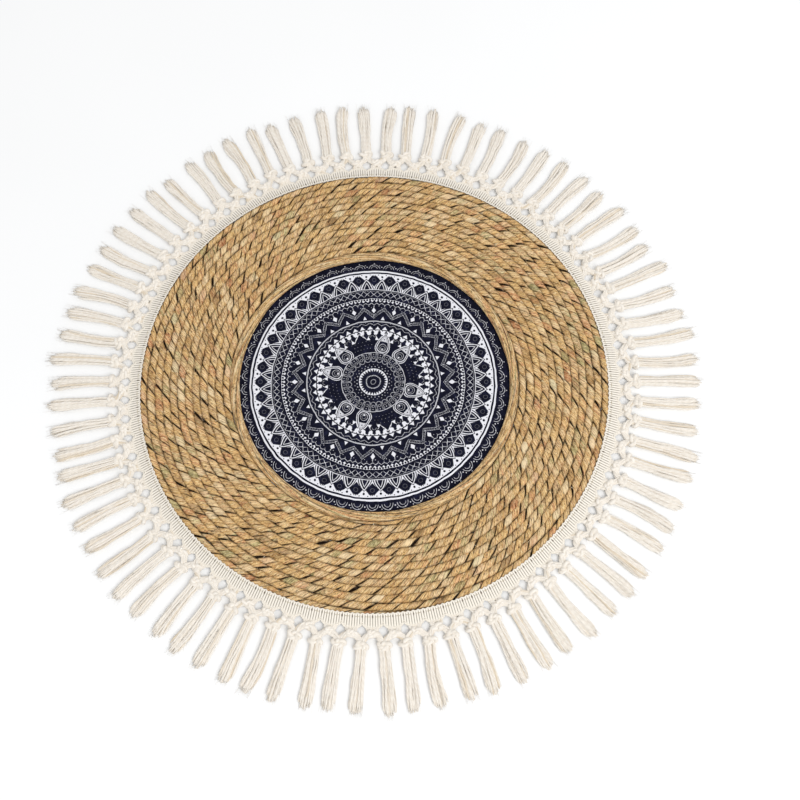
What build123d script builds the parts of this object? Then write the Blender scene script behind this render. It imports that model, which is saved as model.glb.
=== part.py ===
from build123d import *
from math import cos, radians, sin
import os

# Round straw seat pad with a printed centre, a sewn header braid and a fringe of knotted tassels.
# Millimetres, +Z up. The origin is the centre of the underside, on the surface that the pad lies on.

os.makedirs("parts", exist_ok=True)

# Centre panel: printed cloth over felt over a plain backing, pinched to a flat flange at its edge.
medallion_radius = 109.7
field_inset = 8.7
slope_foot_inset = 0.7
flange_width = 5.3
cloth_thickness = 0.6
felt_thickness = 3.1
backing_thickness = 0.5

# Straw edge cord laid over the flange.
edge_cord_width = 7.4
edge_cord_height = 4.6

# Straw rope wound flat. Each turn runs round the centre and steps out by one pitch inside the jog.
rope_diameter = 5.8
turn_gap = 0.3
turn_count = 12
cord_to_rope_gap = 0.15
jog_start = 240.0
jog_angle = 60.0

# Threads: seam under the edge cord, radial binding threads, and stitches on the header braid.
seam_thread_diameter = 0.4
seam_inset = 1.3
binding_thread_diameter = 0.8
binding_thread_count = 24
binding_end_inset = 1.5
header_stitch_diameter = 0.5
header_stitch_length = 3.4
header_stitch_inset = 2.4
stitches_per_scallop = 2

# Header braid: a tape that slopes from the top of the outermost turn down to the fringe.
header_width = 13.0
header_thickness = 1.0
header_tilt = 19.3
header_overlap = 1.2
header_clearance = 0.1
scallop_depth = 3.8

# Fringe: tassels hang in threes, and the knots of each three lie on one straight hinge line.
group_count = 26
tassels_per_group = 3
net_knot_radius = 2.6
net_knot_length = 9.2
net_knot_setback = 3.4
tassel_knot_radius = 2.9
tassel_knot_length = 10.4
tassel_knot_setback = 11.4
knot_lift = 0.1
yarn_diameter = 3.6
yarn_gap = 0.05

# Tassels: cut yarn bundles that lie flat, wider and thinner towards the tip.
tassel_length = 50.4
tassel_clearance = 0.7
neck_width, neck_thickness = 7.4, 4.2
belly_width, belly_thickness = 10.4, 4.2
tip_width, tip_thickness = 11.8, 3.6
belly_share = 0.35
belly_lift = 0.1

# Derived sizes.
rope_radius = rope_diameter / 2
pitch = rope_diameter + turn_gap
field_radius = medallion_radius - field_inset
slope_foot_radius = medallion_radius - slope_foot_inset
flange_radius = medallion_radius + flange_width
flange_top = backing_thickness + cloth_thickness
field_top = flange_top + felt_thickness
edge_cord_radius = medallion_radius + edge_cord_width / 2
edge_cord_middle = flange_top + edge_cord_height / 2
first_turn_radius = medallion_radius + edge_cord_width + cord_to_rope_gap + rope_radius
last_turn_radius = first_turn_radius + (turn_count - 1) * pitch
straw_radius = last_turn_radius + rope_radius

tilt_cos, tilt_sin = cos(radians(header_tilt)), sin(radians(header_tilt))
header_standoff = rope_radius + header_clearance
header_inner_radius = straw_radius - header_overlap
tangent_radius = last_turn_radius + header_standoff * tilt_sin
tangent_height = rope_radius + header_standoff * tilt_cos
header_start = (header_inner_radius - tangent_radius) / tilt_cos
header_outer_radius = header_inner_radius + header_width * tilt_cos

tassel_count = group_count * tassels_per_group
tassel_pitch = 360 / tassel_count
group_pitch = 360 / group_count
net_knot_ring = header_outer_radius + net_knot_setback
tassel_knot_line = header_outer_radius + tassel_knot_setback
net_knot_height = net_knot_radius + knot_lift
tassel_knot_height = tassel_knot_radius + knot_lift
group_places = [place - (tassels_per_group - 1) / 2 for place in range(tassels_per_group)]


def polar(radius, angle, height=0.0):
    """Point at a radius and an angle in degrees about the pad's centre."""
    return Vector(radius * cos(radians(angle)), radius * sin(radians(angle)), height)


def header_point(along, above):
    """Radius and height of a point on the tape: along its width, above its lower face."""
    run = header_start + along
    radius = tangent_radius + run * tilt_cos + above * tilt_sin
    height = tangent_height - run * tilt_sin + above * tilt_cos
    return radius, height


def write(piece, label):
    """Labels a finished piece and writes its STEP file."""
    piece.part.label = label
    export_step(piece.part, f"parts/{label}.step")


# Backing disc: its underside is the flat face that the pad rests on.
with BuildPart() as backing:
    with BuildSketch(Plane.XY):
        Circle(flange_radius)
    extrude(amount=backing_thickness)
write(backing, "medallion_backing")

# Felt: a low plateau with a sloped rim.
with BuildPart() as wadding:
    with BuildSketch(Plane.XZ):
        with BuildLine():
            Polyline(
                (0, backing_thickness),
                (slope_foot_radius, backing_thickness),
                (field_radius, backing_thickness + felt_thickness),
                (0, backing_thickness + felt_thickness),
                close=True,
            )
        make_face()
    revolve(axis=Axis.Z)
write(wadding, "medallion_wadding")

# Printed cloth: follows the felt, then runs out flat over the backing as a flange.
with BuildPart() as cloth:
    with BuildSketch(Plane.XZ):
        with BuildLine():
            Polyline(
                (0, field_top - cloth_thickness),
                (field_radius, field_top - cloth_thickness),
                (slope_foot_radius, backing_thickness),
                (flange_radius, backing_thickness),
                (flange_radius, flange_top),
                (slope_foot_radius, flange_top),
                (field_radius, field_top),
                (0, field_top),
                close=True,
            )
        make_face()
    revolve(axis=Axis.Z)
write(cloth, "medallion_cloth")

# Seam thread: one ring on the flange, in the hollow under the edge cord's inner side.
with BuildPart() as seam:
    seam_height = flange_top + seam_thread_diameter / 2
    with BuildSketch(Plane.XZ):
        with Locations((medallion_radius + seam_inset, seam_height)):
            Circle(seam_thread_diameter / 2)
    revolve(axis=Axis.Z)
write(seam, "medallion_seam")

# Edge cord: a flattened straw ring.
with BuildPart() as edge_cord:
    with BuildSketch(Plane.XZ):
        with Locations((edge_cord_radius, edge_cord_middle)):
            Ellipse(edge_cord_width / 2, edge_cord_height / 2)
    revolve(axis=Axis.Z)
write(edge_cord, "edge_cord")

# Straw rope: one coil. In the jog, two tangent arcs about fixed centres carry it out by a pitch.
jog_offset = pitch / (2 * (1 - cos(radians(jog_angle / 2))))
jog_end = jog_start + jog_angle
coil_centre = Vector(0, 0, rope_radius)
leave_centre = polar(-jog_offset, jog_start, rope_radius)
join_centre = polar(jog_offset, jog_end, rope_radius)
with BuildPart() as rope:
    with BuildLine() as rope_path:
        for turn in range(turn_count):
            turn_radius = first_turn_radius + turn * pitch
            CenterArc(coil_centre, turn_radius, jog_end, 360 - jog_angle)
            if turn < turn_count - 1:
                CenterArc(leave_centre, turn_radius + jog_offset, jog_start, jog_angle / 2)
                CenterArc(
                    join_centre,
                    turn_radius + pitch - jog_offset,
                    jog_start + jog_angle / 2,
                    jog_angle / 2,
                )
    coil = rope_path.line
    with BuildSketch(Plane(origin=coil @ 0, z_dir=coil % 0)):
        Circle(rope_radius)
    sweep(path=coil)
write(rope, "straw_rope")

# Binding threads: drawn radially through the edge cord and every turn.
with BuildPart() as binding:
    binding_length = straw_radius - medallion_radius - 2 * binding_end_inset
    with BuildSketch(Plane.YZ.offset(medallion_radius + binding_end_inset)):
        with Locations((0, rope_radius)):
            Circle(binding_thread_diameter / 2)
    extrude(amount=binding_length)
with BuildPart() as bindings:
    with PolarLocations(0, binding_thread_count):
        add(binding.part)
write(bindings, "binding_threads")

# Header braid: a sloping band with one scallop over each knot of the first row.
with BuildPart() as header:
    with BuildSketch(Plane.XZ):
        with BuildLine():
            Polyline(
                header_point(0, 0),
                header_point(header_width, 0),
                header_point(header_width, header_thickness),
                header_point(0, header_thickness),
                close=True,
            )
        make_face()
    revolve(axis=Axis.Z)
    with BuildSketch(Plane.XY):
        with BuildLine():
            for scallop in range(tassel_count):
                middle = (scallop + 0.5) * tassel_pitch
                ThreePointArc(
                    polar(header_outer_radius - scallop_depth, middle - tassel_pitch / 2),
                    polar(header_outer_radius, middle),
                    polar(header_outer_radius - scallop_depth, middle + tassel_pitch / 2),
                )
        make_face()
    extrude(amount=2 * rope_diameter, mode=Mode.INTERSECT)
write(header, "header_braid")

# Header stitches: short threads that lie on the tape in a ring.
with BuildPart() as stitch:
    stitch_radius, stitch_height = header_point(
        header_stitch_inset, header_thickness + header_stitch_diameter / 2
    )
    with BuildSketch(Plane.XZ.offset(-header_stitch_length / 2)):
        with Locations((stitch_radius, stitch_height)):
            Circle(header_stitch_diameter / 2)
    extrude(amount=header_stitch_length)
with BuildPart() as header_stitches:
    with PolarLocations(0, tassel_count * stitches_per_scallop):
        add(stitch.part)
write(header_stitches, "header_stitches")

def barrel_knot(radius, length):
    """Round-ended knot at the origin, long along Y."""
    with BuildPart() as knot:
        with BuildSketch(Plane.XY):
            SlotOverall(length, radius * 2, rotation=90)
            split(bisect_by=Plane.YZ)
        revolve(axis=Axis.Y)
    return knot.part


# Knots of the first row: one beyond each scallop.
with BuildPart() as net_knots:
    with PolarLocations(net_knot_ring, tassel_count, start_angle=tassel_pitch / 2):
        with Locations((0, 0, net_knot_height)):
            add(barrel_knot(net_knot_radius, net_knot_length))
write(net_knots, "net_knots")


def tassel_knot_centre(place):
    """Centre of a tassel's knot in the first group, all on the group's hinge line."""
    return Vector(
        tassel_knot_line,
        tassel_knot_line * sin(radians(place * tassel_pitch)) / cos(radians(place * tassel_pitch)),
        tassel_knot_height,
    )


# Knots of the second row: one at the head of each tassel, along the group's hinge line.
with BuildPart() as knot_trio:
    with Locations(*[tassel_knot_centre(place) for place in group_places]):
        add(barrel_knot(tassel_knot_radius, tassel_knot_length))
with BuildPart() as tassel_knots:
    with PolarLocations(0, group_count):
        add(knot_trio.part)
write(tassel_knots, "tassel_knots")

# Net yarns of one group: a short one from each scallop, and two up to each tassel's knot.
with BuildPart() as yarn_group:
    for place in group_places:
        head = tassel_knot_centre(place)
        spoke_angle = (place - 0.5) * tassel_pitch
        spoke_start = polar(header_outer_radius + yarn_gap, spoke_angle, net_knot_height)
        spoke_end = polar(net_knot_ring, spoke_angle, net_knot_height)
        with BuildSketch(Plane(origin=spoke_start, z_dir=spoke_end - spoke_start)):
            Circle(yarn_diameter / 2)
        extrude(amount=(spoke_end - spoke_start).length)
        for side in (-0.5, 0.5):
            foot = polar(net_knot_ring, (place + side) * tassel_pitch, net_knot_height)
            with BuildSketch(Plane(origin=foot, z_dir=head - foot)):
                Circle(yarn_diameter / 2)
            extrude(amount=(head - foot).length)
    add(knot_trio.part, mode=Mode.SUBTRACT)
    add(net_knots.part, mode=Mode.SUBTRACT)
with BuildPart() as net_yarns:
    with PolarLocations(0, group_count):
        add(yarn_group.part)
write(net_yarns, "net_yarns")


def tassel_section(head, angle, distance, width, thickness, height):
    """Flat oval face of a tassel, square to its length."""
    spot = head + polar(distance, angle)
    spot.Z = height
    with BuildSketch(Plane(origin=spot, x_dir=polar(1, angle + 90), z_dir=polar(1, angle))) as section:
        Ellipse(width / 2, thickness / 2)
    return section.sketch.face()


def tassel_sections(place):
    """Neck, belly and tip of one tassel: clear of its knot, and down on the surface at the tip."""
    head = tassel_knot_centre(place)
    lean = place * tassel_pitch
    neck = tassel_knot_radius + tassel_clearance
    belly = neck + belly_share * (tassel_length - neck)
    belly_height = belly_thickness / 2 + belly_lift
    return [
        tassel_section(head, lean, neck, neck_width, neck_thickness, tassel_knot_height),
        tassel_section(head, lean, belly, belly_width, belly_thickness, belly_height),
        tassel_section(head, lean, tassel_length, tip_width, tip_thickness, tip_thickness / 2),
    ]


# Tassels of one group, fanned out by one pitch each.
with BuildPart() as tassel_trio:
    for place in group_places:
        loft(sections=tassel_sections(place), ruled=True)

for group in range(group_count):
    with BuildPart() as tassels:
        add(tassel_trio.part, rotation=(0, 0, group * group_pitch))
    write(tassels, f"tassels_{group + 1:02d}")
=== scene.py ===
from math import cos, pi, radians, sin, sqrt, tan

import bpy
import numpy as np
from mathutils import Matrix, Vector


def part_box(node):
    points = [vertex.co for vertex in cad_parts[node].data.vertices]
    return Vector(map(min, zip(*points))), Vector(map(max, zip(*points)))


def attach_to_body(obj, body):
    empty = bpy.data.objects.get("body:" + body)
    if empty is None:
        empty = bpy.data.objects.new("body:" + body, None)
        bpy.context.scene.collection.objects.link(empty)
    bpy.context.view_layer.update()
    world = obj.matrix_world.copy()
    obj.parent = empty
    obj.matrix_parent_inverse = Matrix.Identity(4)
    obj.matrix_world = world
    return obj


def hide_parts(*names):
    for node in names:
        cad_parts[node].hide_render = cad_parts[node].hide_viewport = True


# Round straw seat pad: printed centre, coiled two-ply straw rope, ribbed header braid, knotted fringe.
# Shapes are worked out in millimetres, +Z up, with the origin under the pad's centre.

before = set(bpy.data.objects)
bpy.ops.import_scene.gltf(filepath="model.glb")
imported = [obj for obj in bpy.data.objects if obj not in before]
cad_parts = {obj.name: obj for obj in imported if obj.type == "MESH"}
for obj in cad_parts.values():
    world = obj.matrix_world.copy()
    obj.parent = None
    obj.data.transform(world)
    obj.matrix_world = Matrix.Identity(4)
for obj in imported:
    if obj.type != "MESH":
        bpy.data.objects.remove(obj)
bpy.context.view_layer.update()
MM = 0.001
rng = np.random.default_rng(11)


def span(node):
    """Half width, lowest and highest point of a CAD node that is centred on the pad, in mm."""
    low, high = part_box(node)
    return high[0] / MM, low[2] / MM, high[2] / MM


# Sizes read from the frame.
cloth_radius, cloth_bottom, cloth_top = span("medallion_cloth")
backing_radius, _, backing_top = span("medallion_backing")
cord_outer_radius, cord_bottom, cord_top = span("edge_cord")
straw_radius, _, rope_diameter = span("straw_rope")
stitch_radius = span("header_stitches")[0]

# Centre panel.
flange_thickness = 0.6
pucker_ring_radius = 103.5
pucker_height = 0.45
felt_room = 0.2
field_radius = 101.0
slope_foot_radius = 109.0
seam_radius = 111.0

# Edge cord.
cord_half_width = 3.7
cord_half_height = (cord_top - cord_bottom) / 2
cord_ring_radius = cord_outer_radius - cord_half_width
cord_height = (cord_top + cord_bottom) / 2

# Straw rope: the coil's turns, and the jog where each turn steps out to the next.
rope_radius = rope_diameter / 2
rope_pitch = rope_diameter + 0.3
turn_count = 12
last_turn_radius = straw_radius - rope_radius
first_turn_radius = last_turn_radius - (turn_count - 1) * rope_pitch
jog_start = radians(240)
jog_middle = radians(270)
jog_end = radians(300)
tail_tip = radians(8)
ply_pitch = 19.0
ply_offset = 1.32
ply_half_depth = 1.72
ply_half_width = 2.8
row_swell = 0.15
thread_count = 24
thread_radius = 0.4
thread_swing = 1.1

# Header braid: a tape that slopes down from the last turn of rope.
tassel_count = 78
group_count = 26
header_tilt = radians(19.3)
header_inner_radius = 188.95
header_inner_height = 5.483
header_thickness = 1.0
notch_radius = 197.42
scallop_height = 3.8
ribs_per_scallop = 8
loops_per_scallop = 4

# Fringe.
net_knot_ring = 204.62
net_knot_height = 2.7
tassel_knot_line = 212.62
tassel_knot_height = 3.0
straw_coloured_tassel = 46
tassel_length = 50.4
golden_angle = pi * (3 - sqrt(5))
tassel_step = 2 * pi / tassel_count
yarns_per_tassel = 25
hairs_per_tassel = 22


# --- Numbers over a shape ---


def unit(angle):
    """Unit vectors in the pad's plane at these angles."""
    angle = np.asarray(angle, float)
    return np.stack([np.cos(angle), np.sin(angle), np.zeros_like(angle)], axis=-1)


def full_turn(count):
    """So many angles, evenly round a circle."""
    return np.linspace(0, 2 * pi, count, endpoint=False)


def smooth_step(low, high, value):
    share = np.clip((value - low) / (high - low), 0, 1)
    return share * share * (3 - 2 * share)


def fuller(wave, power):
    """A sine or cosine with a power under 1, which makes an oval section fuller."""
    return np.sign(wave) * np.abs(wave) ** power


def wander(places, scale, amount):
    """A smooth random number for each place along a length, changing over about this scale."""
    knots = rng.normal(0, amount, int(np.max(places) / scale) + 3)
    whole = np.floor(places / scale).astype(int)
    share = smooth_step(0, 1, places / scale - whole)
    return knots[whole] * (1 - share) + knots[whole + 1] * share


def ripples(x, y, lengths, amount):
    """Gentle random waves over a plane, of wavelengths between the two lengths."""
    count = 14
    total = np.zeros_like(x)
    for _ in range(count):
        heading, start = rng.uniform(0, 2 * pi, 2)
        wave = 2 * pi / rng.uniform(*lengths)
        total += np.cos(wave * (x * cos(heading) + y * sin(heading)) + start)
    return total * amount / sqrt(count)


def distances(line):
    """Distance along a line of points, from its first point."""
    steps = np.linalg.norm(np.diff(line, axis=0), axis=1)
    return np.concatenate([[0], np.cumsum(steps)])


def directions(line):
    """Unit vectors along a line, and level ones across it."""
    ahead = np.gradient(line, axis=0)
    ahead /= np.linalg.norm(ahead, axis=1, keepdims=True)
    side = np.cross(ahead, (0, 0, 1))
    side /= np.linalg.norm(side, axis=1, keepdims=True)
    return ahead, side


def resample(line, step, extra=()):
    """Evenly spaced points on a line, with any extra numbers carried along."""
    places = distances(line)
    even = np.linspace(0, places[-1], int(places[-1] / step) + 1)
    columns = [*line.T, *extra]
    found = [np.interp(even, places, column) for column in columns]
    return np.stack(found[:3], axis=1), even, found[3:]


def through(points):
    """A smooth line through a few points (Catmull-Rom)."""
    count = 14
    points = np.asarray(points, float)
    padded = np.concatenate([[2 * points[0] - points[1]], points, [2 * points[-1] - points[-2]]])
    share = np.linspace(0, 1, count, endpoint=False)[:, None]
    pieces = []
    for a, b, c, d in zip(padded, padded[1:], padded[2:], padded[3:]):
        curve = 2 * b + (c - a) * share + (2 * a - 5 * b + 4 * c - d) * share**2
        pieces.append((curve + (3 * b - a - 3 * c + d) * share**3) / 2)
    return np.concatenate([*pieces, points[-1:]])


# --- Meshes ---


class Tubes:
    """Gathers swept tubes into one mesh, with the distance along and round each one as its UV."""

    def __init__(self):
        self.points, self.faces, self.uvs, self.tones = [], [], [], []
        self.count = 0

    def add(self, rings, along, tone=(0.5, 0.5, 0.0), joined=False):
        stations, sides = rings.shape[:2]
        index = self.count + np.arange(stations * sides).reshape(stations, sides)
        if joined:
            index = np.concatenate([index, index[:1]])
            along = np.append(along, 2 * along[-1] - along[-2])
        turned = np.roll(index, -1, axis=1)
        quads = np.stack([index[:-1], turned[:-1], turned[1:], index[1:]], axis=-1)
        self.faces += quads.reshape(-1, 4).tolist()
        side = np.arange(sides)
        u = np.stack([along[:-1], along[:-1], along[1:], along[1:]], axis=-1)[:, None, :]
        v = np.stack([side, side + 1, side + 1, side], axis=-1)[None] / sides
        u, v = np.broadcast_arrays(u, v)
        self.uvs.append(np.stack([u, v], axis=-1).reshape(-1, 2))
        if not joined:
            self.faces += [index[0, ::-1].tolist(), index[-1].tolist()]
            ends = np.repeat([along[0], along[-1]], sides)
            self.uvs.append(np.stack([ends, np.full(2 * sides, 0.5)], axis=-1))
        self.points.append(rings.reshape(-1, 3))
        tone = np.broadcast_to(np.asarray(tone, float), (stations, sides, 3))
        self.tones.append(tone.reshape(-1, 3))
        self.count += stations * sides

    def make(self, name, material):
        uv, tone = np.concatenate(self.uvs), np.concatenate(self.tones)
        return make_mesh(name, np.concatenate(self.points), self.faces, material, uv, tone)


def make_mesh(name, points, faces, material, uv=None, tone=None):
    """A smooth mesh object from points in millimetres."""
    mesh = bpy.data.meshes.new(name)
    mesh.from_pydata((points * MM).tolist(), [], faces)
    if uv is not None:
        mesh.uv_layers.new(name="UVMap").data.foreach_set("uv", uv.ravel())
    if tone is not None:
        colour = np.concatenate([tone, np.ones((len(tone), 1))], axis=1)
        mesh.attributes.new("tone", "FLOAT_COLOR", "POINT").data.foreach_set("color", colour.ravel())
    mesh.materials.append(material)
    mesh.shade_smooth()
    made = bpy.data.objects.new(name, mesh)
    bpy.context.scene.collection.objects.link(made)
    return made


def attach(piece, body, slot, *nodes):
    """The piece moves with a body and stands for these CAD nodes, which it hides. The slot argument is
    not used.
    """
    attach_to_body(piece, body)
    if nodes:
        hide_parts(*nodes)
    return piece


def sweep(line, radius, sides, squash=1.0):
    """Rings of points round a line. Squash flattens them towards the side direction."""
    ahead, side = directions(line)
    over = np.cross(ahead, side)
    angle = pi + full_turn(sides)[:, None]
    offset = np.cos(angle) * side[:, None] + np.sin(angle) * over[:, None] * squash
    return line[:, None] + np.reshape(radius, (-1, 1, 1)) * offset


def ring_quads(rows, count):
    """Faces between rings of points, all the way round."""
    index = np.arange(rows * count).reshape(rows, count)
    turned = np.roll(index, -1, axis=1)
    quads = np.stack([index[:-1], index[1:], turned[1:], turned[:-1]], axis=-1)
    return quads.reshape(-1, 4).tolist()


def disc_grid(radii, count, height):
    """Points and faces of a disc, as rings at these radii round a centre point."""
    radius, angle = np.meshgrid(radii, full_turn(count), indexing="ij")
    x, y = radius * np.cos(angle), radius * np.sin(angle)
    points = np.stack([x, y, height(x, y)], axis=-1).reshape(-1, 3)
    centre = np.zeros(1)
    points = np.concatenate([points, [[0, 0, height(centre, centre)[0]]]])
    fan = [[len(points) - 1, a, (a + 1) % count] for a in range(count)]
    return points, ring_quads(len(radii), count) + fan


def thicken(piece, thickness):
    """Gives a sheet its thickness, downwards."""
    solid = piece.modifiers.new("thickness", "SOLIDIFY")
    solid.thickness = thickness * MM
    solid.offset = -1
    return piece


# --- Materials ---


def rgb(code):
    """Linear colour from a hex code."""
    parts = [int(code[i : i + 2], 16) / 255 for i in (1, 3, 5)]
    linear = [p / 12.92 if p <= 0.04045 else ((p + 0.055) / 1.055) ** 2.4 for p in parts]
    return (*linear, 1.0)


class Value:
    """A number or vector that changes over a surface, as the output of a shader node."""

    def __init__(self, graph, socket):
        self.graph, self.socket = graph, socket

    def __add__(self, other):
        return self.graph.math("ADD", self, other)

    def __sub__(self, other):
        return self.graph.math("SUBTRACT", self, other)

    def __rsub__(self, other):
        return self.graph.math("SUBTRACT", other, self)

    def __mul__(self, other):
        return self.graph.math("MULTIPLY", self, other)

    def __truediv__(self, other):
        return self.graph.math("DIVIDE", self, other)

    def __abs__(self):
        return self.graph.math("ABSOLUTE", self)

    __radd__, __rmul__ = __add__, __mul__


class Graph:
    """A material whose nodes are written as arithmetic."""

    def __init__(self, name, roughness, sheen=0.0, specular=0.3):
        self.material = bpy.data.materials.new(name)
        self.material.use_nodes = True
        self.tree = self.material.node_tree
        self.tree.nodes.clear()
        output = self.tree.nodes.new("ShaderNodeOutputMaterial")
        self.shader = self.tree.nodes.new("ShaderNodeBsdfPrincipled")
        self.tree.links.new(self.shader.outputs["BSDF"], output.inputs["Surface"])
        self.shader.inputs["Roughness"].default_value = roughness
        self.shader.inputs["Sheen Weight"].default_value = sheen
        self.shader.inputs["Sheen Roughness"].default_value = 0.6
        self.shader.inputs["Specular IOR Level"].default_value = specular

    def put(self, socket, value):
        if isinstance(value, Value):
            self.tree.links.new(value.socket, socket)
        else:
            socket.default_value = value

    def node(self, kind, outlet=0, values=None, **settings):
        made = self.tree.nodes.new("ShaderNode" + kind)
        for key, setting in settings.items():
            setattr(made, key, setting)
        for key, value in (values or {}).items():
            self.put(made.inputs[key], value)
        return Value(self, made.outputs[outlet])

    def math(self, operation, *values):
        return self.node("Math", values=dict(enumerate(values)), operation=operation)

    def vector(self, *parts):
        return self.node("CombineXYZ", values=dict(enumerate(parts)))

    def split(self, vector):
        made = self.node("SeparateXYZ", values={0: vector}).socket.node
        return [Value(self, outlet) for outlet in made.outputs]

    def place(self):
        """Position on the piece, in millimetres."""
        where = self.node("TexCoord", "Object")
        return self.node("VectorMath", values={0: where, 1: (1000, 1000, 1000)}, operation="MULTIPLY")

    def uv(self):
        along, around, _ = self.split(self.node("UVMap", uv_map="UVMap"))
        return along, around

    def tone(self):
        made = self.node("Attribute", "Vector", attribute_name="tone")
        return self.split(made)

    def noise(self, vector, scale=1.0, detail=2.0, roughness=0.5):
        values = {"Vector": vector, "Scale": scale, "Detail": detail, "Roughness": roughness}
        return self.node("TexNoise", values=values)

    def mix(self, share, a, b):
        values = {0: share, 6: a, 7: b}
        return self.node("Mix", 2, values, data_type="RGBA")

    def darken(self, share, colour, by):
        return self.node("Mix", 2, {0: share, 6: colour, 7: by}, data_type="RGBA", blend_type="MULTIPLY")

    def step(self, value, low, high):
        """0 below low, 1 above high, smooth between."""
        values = {"Value": value, "From Min": low, "From Max": high}
        return self.node("MapRange", values=values, interpolation_type="SMOOTHSTEP")

    def ramp(self, value, stops, interpolation="LINEAR"):
        made = self.node("ValToRGB", values={0: value})
        ramp = made.socket.node.color_ramp
        ramp.interpolation = interpolation
        while len(ramp.elements) > 1:
            ramp.elements.remove(ramp.elements[-1])
        ramp.elements[0].position, ramp.elements[0].color = stops[0]
        for position, colour in stops[1:]:
            ramp.elements.new(position).color = colour
        return made

    def finish(self, colour, height=None, depth=0.1):
        """Sets the colour, and a bump of this depth in millimetres."""
        self.put(self.shader.inputs["Base Color"], colour)
        if height is not None:
            bump = self.node("Bump", values={"Strength": 1.0, "Distance": depth * MM, "Height": height})
            self.put(self.shader.inputs["Normal"], bump)
        return self.material


def straw_material(name, streak_count, warmth):
    """Dry grass stems: mottled along the stem, golden to olive and rust, with painted shade in the
    grooves.
    """
    g = Graph(name, roughness=0.55, specular=0.2)
    along, around = g.uv()
    hue, light, painted_shade = g.tone()
    drift = around * streak_count + along * 0.05
    streaks = g.noise(g.vector(along * 0.05, drift, hue * 7.0), 1.0, 4.0, 0.65)
    threads = g.noise(g.vector(along * 0.14, drift * 2.0, 4.0), 1.0, 2.0, 0.6)
    specks = g.noise(g.vector(along * 0.9, drift * 1.5, 9.0), 1.0, 2.0, 0.5)
    nicks = g.noise(g.vector(along * 0.3, drift * 1.1, 17.0), 1.0, 3.0, 0.7)
    glints = g.noise(g.vector(along * 0.5, drift * 1.3, 29.0), 1.0, 3.0, 0.7)
    stops = [
        (0.0, rgb("#a19a6a")),
        (0.2, rgb("#cdbd84")),
        (0.38, rgb("#e6be92")),
        (0.5, rgb("#e2bd7c")),
        (0.66, rgb("#efc487")),
        (0.82, rgb("#dda274")),
        (1.0, rgb("#b47a4e")),
    ]
    colour = g.ramp(hue + (streaks - 0.5) * 1.1 + warmth, stops)
    colour = g.darken(g.step(threads, 0.42, 0.68) * 0.75, colour, rgb("#94703c"))
    colour = g.mix(g.step(glints, 0.5, 0.66) * 0.65, colour, rgb("#fde7b4"))
    colour = g.darken(g.step(specks, 0.52, 0.68) * 0.7, colour, rgb("#6b4a22"))
    colour = g.darken(g.step(nicks, 0.55, 0.66) * 0.85, colour, rgb("#4a2d12"))
    colour = g.mix(g.step(light + (0.5 - threads) * 0.9, 0.5, 1.0) * 0.6, colour, rgb("#f8e6c0"))
    colour = g.darken(g.step(0.5 - light, 0.0, 0.5) * 0.6, colour, rgb("#8c7048"))
    # Painted shade: the tone's third channel darkens the grooves between plies and rows to near-black
    # brown.
    colour = g.mix(painted_shade, colour, rgb("#1f1105"))
    return g.finish(colour, threads * 0.6 + streaks * 0.4 - g.step(nicks, 0.6, 0.72) * 0.5, 0.5)


def cotton_material(name, pale, shade, twist=2.4, depth=0.16):
    """Soft plied cotton: the twist of the yarn, fuzz, and slightly uneven colour."""
    g = Graph(name, roughness=0.9, sheen=0.4, specular=0.15)
    along, around = g.uv()
    hue, light, dark = g.tone()
    plies = g.math("SINE", (along * (1 / twist) + around * 2) * (2 * pi)) * 0.5 + 0.5
    fuzz = g.noise(g.vector(along * 1.2, around * 9, hue * 9), 1.0, 3.0, 0.7)
    patches = g.noise(g.vector(along * 0.12, hue * 5, light * 5), 1.0, 2.0, 0.5)
    share = (1 - plies) * 0.35 + g.step(fuzz, 0.35, 0.75) * 0.3 + (patches - 0.5) * 0.5
    colour = g.mix(share, rgb(pale), rgb(shade))
    colour = g.mix(g.step(0.35 - hue, 0.0, 0.3) * 0.5, colour, rgb("#cdb58c"))
    colour = g.mix(dark, colour, rgb("#857458"))
    return g.finish(colour, plies * 0.7 + fuzz * 0.5, depth)


def backing_material():
    """Undyed cotton in plain weave."""
    g = Graph("plain_cotton", roughness=0.9, sheen=0.25, specular=0.15)
    weave, slub = plain_weave(g, 0.55)
    colour = g.mix(weave * 0.35 + slub * 0.4, rgb("#ddd6c6"), rgb("#bdb4a0"))
    return g.finish(colour, weave, 0.09)


def plain_weave(g, thread):
    """Height of a plain weave, and the unevenness of its yarns."""
    x, y, _ = g.split(g.place())
    wobble = g.noise(g.place(), 0.15, 2.0)
    warp = g.math("SINE", (x + wobble * 1.2) * (pi / thread))
    weft = g.math("SINE", (y + wobble * 1.2) * (pi / thread))
    slub = g.noise(g.vector(x * 0.25, y * 2.5, 0.0), 1.0, 2.0) * 0.5
    slub = slub + g.noise(g.vector(x * 2.5, y * 0.25, 5.0), 1.0, 2.0) * 0.5
    return warp * weft * 0.5 + 0.5, slub


def felt_material():
    g = Graph("felt", roughness=0.95, sheen=0.3, specular=0.1)
    fibres = g.noise(g.place(), 1.6, 5.0, 0.75)
    clumps = g.noise(g.place(), 0.2, 3.0)
    colour = g.mix(fibres * 0.6 + clumps * 0.4, rgb("#e2ddd0"), rgb("#b9b1a0"))
    return g.finish(colour, fibres, 0.3)


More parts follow.
